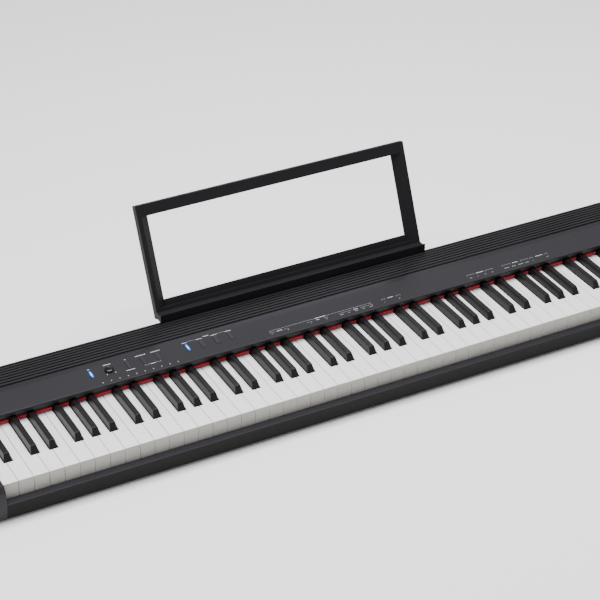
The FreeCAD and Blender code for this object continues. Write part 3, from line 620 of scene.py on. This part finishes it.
# %% Words
LINE_ONE, LINE_TWO, LINE_THREE, BUTTON_LABELS, KEY_NUMBERS = 17.9, 13.4, 9.3, 45.8, 8.0
WORDS = [(-407.3, -403.9, BUTTON_LABELS), (-381.6, -369.0, BUTTON_LABELS), (-346.6, -344.1, BUTTON_LABELS),
         (-328.6, -311.0, BUTTON_LABELS), (-302.8, -287.0, BUTTON_LABELS), (-249.6, -241.0, BUTTON_LABELS),
         (-225.6, -215.0, BUTTON_LABELS), (-200.0, -190.0, BUTTON_LABELS), (-175.6, -165.0, BUTTON_LABELS),
         (-353.6, -339.4, 20.0), (-313.0, -305.0, 20.4), (-212.4, -202.4, 48.6),
         (-31.0, -11.0, LINE_ONE), (103.0, 113.0, LINE_ONE), (271.0, 285.0, LINE_ONE - 0.4),
         (342.0, 353.0, LINE_ONE - 0.4), (388.0, 402.0, LINE_ONE - 0.4),
         (-101.0, -91.0, LINE_TWO), (-30.0, -25.0, LINE_TWO), (37.0, 45.0, LINE_TWO),
         (12.0, 17.0, LINE_THREE), (26.0, 28.5, LINE_THREE), (38.0, 44.0, LINE_THREE),
         (52.0, 56.0, LINE_THREE), (65.0, 71.0, LINE_THREE), (-14.0, -12.0, LINE_THREE),
         (-83.2, -81.2, LINE_THREE), (119.0, 122.0, LINE_THREE), (254.4, 258.6, LINE_THREE),
         (283.0, 286.0, LINE_THREE), (297.0, 300.0, LINE_THREE), (322.0, 331.0, LINE_THREE),
         (337.0, 344.0, LINE_THREE), (349.0, 359.0, LINE_THREE), (363.0, 370.0, LINE_THREE),
         (405.6, 409.0, LINE_THREE)]
bm = bmesh.new()
for left, right, v in WORDS:
    if v != LINE_THREE:
        word(bm, left, right, v)
for number in range(10):
    stroke(bm, -397.2 + 13.83 * number, KEY_NUMBERS, 1.0, 1.9)
for u in (-383.4, -369.6):
    stroke(bm, u, 23.4, 1.1, 1.7)
piece("panel_labels", bm, label_ink, "case", 30)

# %% Lines and brackets
LINES = [(-322.4, -314.4, 20.4, 2.2), (-303.6, -295.6, 20.4, 2.2),
         (-240.0, -227.0, 47.0, 0.0), (-190.0, -176.0, 47.0, 0.0),
         (-112.0, -34.0, LINE_ONE, -2.2), (-8.0, 71.0, LINE_ONE, -2.2),
         (91.0, 98.0, LINE_ONE, -2.2), (118.0, 126.0, LINE_ONE, -2.2),
         (253.0, 267.0, LINE_ONE, -2.2), (288.0, 303.0, LINE_ONE, -2.2),
         (322.0, 338.0, LINE_ONE, -2.2), (358.0, 373.0, LINE_ONE, -2.2),
         (377.0, 383.0, LINE_ONE, -2.2), (405.0, 412.0, LINE_ONE, -2.2),
         (-112.0, -105.0, LINE_TWO, -2.0), (-87.0, -80.0, LINE_TWO, -2.0),
         (-46.0, -38.0, LINE_TWO, -2.0), (-16.0, -10.0, LINE_TWO, -2.0),
         (11.0, 32.0, LINE_TWO, -2.0), (50.0, 72.0, LINE_TWO, -2.0)]
bm = bmesh.new()
for left, right, v, leg in LINES:
    line(bm, left, right, v, leg)
for left, right, v in WORDS:
    if v == LINE_THREE:
        word(bm, left, right, v)
for u in (-110.0, -41.0, 93.0, 270.0, 379.0):
    stroke(bm, u, LINE_THREE, 0.9, 1.4)
piece("panel_brackets", bm, fine_ink, "case", 30)
print(len(WORDS), "words and", len(LINES), "lines")

# %% [markdown]
# ## Sockets on the rear
#
# Each phone jack is held by a round collar, turned like the knob. Over every socket stands a short
# label. Seen from behind, the labels run the other way, so the rear has a plane of its own with u
# to the viewer's right, v up from the table and w out of the wall.

# %% Collars and labels
JACK_LINE = 44.0
REAR_FACE = (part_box("jack_panel")[1][1] - CASE_FRONT) * 1000
REAR = (Matrix.Translation(spot(0, REAR_FACE, 0)) @ Matrix.Rotation(math.pi, 4, "Z")
        @ Matrix.Rotation(math.pi / 2, 4, "X") @ Matrix.Scale(0.001, 4))
COLLAR = [(3.3, -0.8), (3.3, 0.5), (3.7, 0.9), (5.3, 0.9), (5.7, 0.5), (5.7, -0.1)]
for name, u in (("pedal_jack", 315.0), ("phones_jack", 288.0)):
    bm = bmesh.new()
    corners = [bm.verts.new((radius, 0, height)) for radius, height in COLLAR]
    outline = [bm.edges.new(pair) for pair in zip(corners, corners[1:] + corners[:1])]
    bmesh.ops.spin(bm, geom=corners + outline, cent=(0, 0, 0), axis=(0, 0, 1), angle=math.tau,
                   steps=48, use_merge=True)
    bmesh.ops.recalc_face_normals(bm, faces=bm.faces)
    bmesh.ops.transform(bm, matrix=REAR @ Matrix.Translation((u, JACK_LINE, 0)), verts=bm.verts)
    piece(name + "_collar", bm, knob_plastic, "case")
bm = bmesh.new()
for u, half in ((315.0, 5.0), (288.0, 4.2), (258.0, 2.6), (228.0, 3.8)):
    word(bm, u - half, u + half, JACK_LINE + 8.6, 1.5, REAR)
piece("rear_labels", bm, fine_ink, "case", 30)
print("rear face at", round(REAR_FACE, 2), "mm")

# %% [markdown]
# ## Finishes for the parts that keep their own shape
#
# Boards, jacks, speakers and screws are right as they came from the solid model. They only need
# their finish, which goes into the object's own slot so that the mesh stays untouched.

# %% Dress the remaining solids
for node, made in frame["nodes"].items():
    holder = made.material_slots[0]
    holder.link = "OBJECT"
    holder.material = inlet_plastic if node == "dc_inlet" else FINISH[slot_of[node]]
print("solids dressed")

# %% [markdown]
# ## Floor, light and camera
#
# A pale floor and large soft lights keep the charcoal case readable. The broad light hangs straight
# overhead, so that the sloping panel mirrors the dark room behind it and only the rounded edges
# catch the light. A weak one from the left shows the flanks of the black keys, and a small bluish
# one far behind puts a sheen on the middle of the panel and on the ridges of the grille.

# %% Studio
bm = bmesh.new()
bmesh.ops.create_grid(bm, x_segments=1, y_segments=1, size=30.0)
floor_mesh = bpy.data.meshes.new("studio_floor")
bm.to_mesh(floor_mesh)
bm.free()
floor = bpy.data.objects.new("studio_floor", floor_mesh)
bpy.context.scene.collection.objects.link(floor)
floor_mesh.materials.append(finish("pale_floor", lambda where: {
    "Base Color": cloud(where, 1.5).blend(colour(0.93, 0.93, 0.93), colour(0.95, 0.95, 0.95))},
    Roughness=0.8))

world = bpy.data.worlds.new("studio")
world.use_nodes = True
world.node_tree.nodes["Background"].inputs["Color"].default_value = (1, 1, 1, 1)
world.node_tree.nodes["Background"].inputs["Strength"].default_value = 0.5
bpy.context.scene.world = world


def soft_light(name, place, aim, size, power):
    light = bpy.data.lights.new(name, "AREA")
    light.shape = "RECTANGLE"
    light.size, light.size_y = size
    light.energy = power
    made = bpy.data.objects.new(name, light)
    made.location = place
    made.rotation_euler = (Vector(aim) - Vector(place)).to_track_quat("-Z", "Y").to_euler()
    bpy.context.scene.collection.objects.link(made)
    return made


soft_light("overhead_softbox", (0.0, -0.1, 2.7), (0, 0, 0.1), (3.4, 1.6), 175)
soft_light("left_softbox", (-2.4, -1.3, 1.3), (0, 0, 0.06), (1.4, 1.0), 14)
glow = soft_light("rear_glow", (1.05, 2.10, 1.80), (-0.15, 0, 0.08), (0.9, 0.4), 2.6)
glow.data.color = (0.80, 0.88, 1.0)
print("three soft lights")

# %% Camera
camera_data = bpy.data.cameras.new("camera")
camera_data.sensor_width = 36.0
camera_data.lens = 114.73
camera_data.clip_start = 0.05
camera_data.clip_end = 60.0
camera = bpy.data.objects.new("camera", camera_data)
turn = Matrix(((0.882916, 0.244632, -0.400767), (-0.469486, 0.471735, -0.746357),
               (0.006473, 0.847125, 0.531354)))
camera.matrix_world = Matrix.Translation((-1.2572, -2.24689, 1.71525)) @ turn.to_4x4()
bpy.context.scene.collection.objects.link(camera)
bpy.context.scene.camera = camera
print("camera at", [round(value, 3) for value in camera.location])
